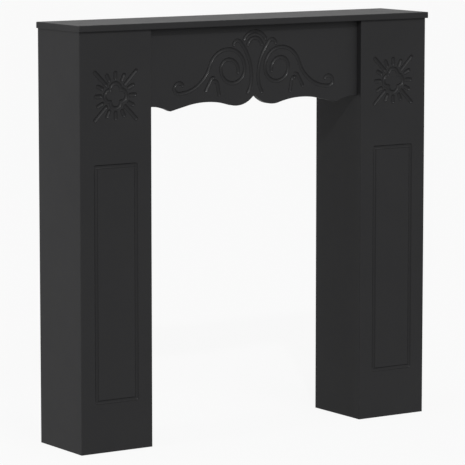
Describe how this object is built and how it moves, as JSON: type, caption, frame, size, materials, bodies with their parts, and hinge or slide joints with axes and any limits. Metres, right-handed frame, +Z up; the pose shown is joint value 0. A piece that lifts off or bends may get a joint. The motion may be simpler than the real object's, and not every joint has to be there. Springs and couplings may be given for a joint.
{
  "type": "fireplace surround",
  "caption": "Freestanding fireplace surround with square columns, sunburst rosettes, a scalloped scroll-carved frieze and a plain mantel shelf.",
  "frame": {"origin": "middle of the base on the floor, under the middle of the shelf's width and depth", "axes": "+X to the right seen from the front, +Y towards the wall, +Z up"},
  "size_m": [1, 0.195, 1],
  "materials": {
    "black_paint": "satin black paint on MDF board",
    "zinc": "bright zinc plate",
    "beech": "plain turned beech"
  },
  "bodies": {
    "root": {"mantel_shelf": "black_paint", "frieze_panel": "black_paint", "back_rail": "black_paint", "left_front_panel": "black_paint", "left_outer_side": "black_paint", "left_inner_side": "black_paint", "left_base_board": "black_paint", "left_mid_board": "black_paint", "right_front_panel": "black_paint", "right_outer_side": "black_paint", "right_inner_side": "black_paint", "right_base_board": "black_paint", "right_mid_board": "black_paint", "left_front_dowels": "beech", "left_board_dowels": "beech", "right_front_dowels": "beech", "right_board_dowels": "beech", "shelf_cam_nuts": "zinc", "shelf_cam_bolts": "zinc", "shelf_dowels": "beech", "frieze_cam_nuts": "zinc", "frieze_cam_bolts": "zinc", "frieze_dowels": "beech", "rail_cam_nuts": "zinc", "rail_cam_bolts": "zinc", "rail_dowels": "beech"}
  },
  "joints": []
}
